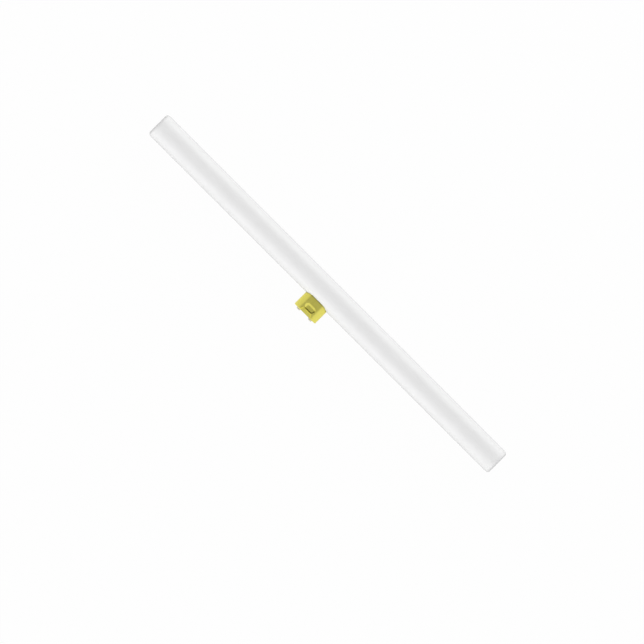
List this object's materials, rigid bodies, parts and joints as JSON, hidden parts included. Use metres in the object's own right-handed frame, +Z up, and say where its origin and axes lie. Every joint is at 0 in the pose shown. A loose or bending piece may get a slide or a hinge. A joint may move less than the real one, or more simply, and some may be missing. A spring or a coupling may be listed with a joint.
{
  "type": "tubular light bulb",
  "caption": "Straight opal tube lamp with a flat, round-ended side cap at mid-length, snap detents and lead-ins in the cap's broad faces and round contacts at its end.",
  "frame": {"origin": "on the surface that the lamp lies on, at the centre of its footprint: at the tube's mid-length, halfway between the tube's back and the tips of the contacts", "axes": "+X along the tube, -Y the side that the cap points to, +Z up"},
  "size_m": [0.5, 0.0476, 0.0293],
  "materials": {
    "opal_glass": "opal, satin",
    "cap_metal": "yellow, satin",
    "insulator": "moulded",
    "contact_metal": "satin"
  },
  "bodies": {
    "root": {"opal_tube": "opal_glass", "cap_shell": "cap_metal", "contact_block": "insulator", "contact_left": "contact_metal", "contact_right": "contact_metal"}
  },
  "joints": []
}
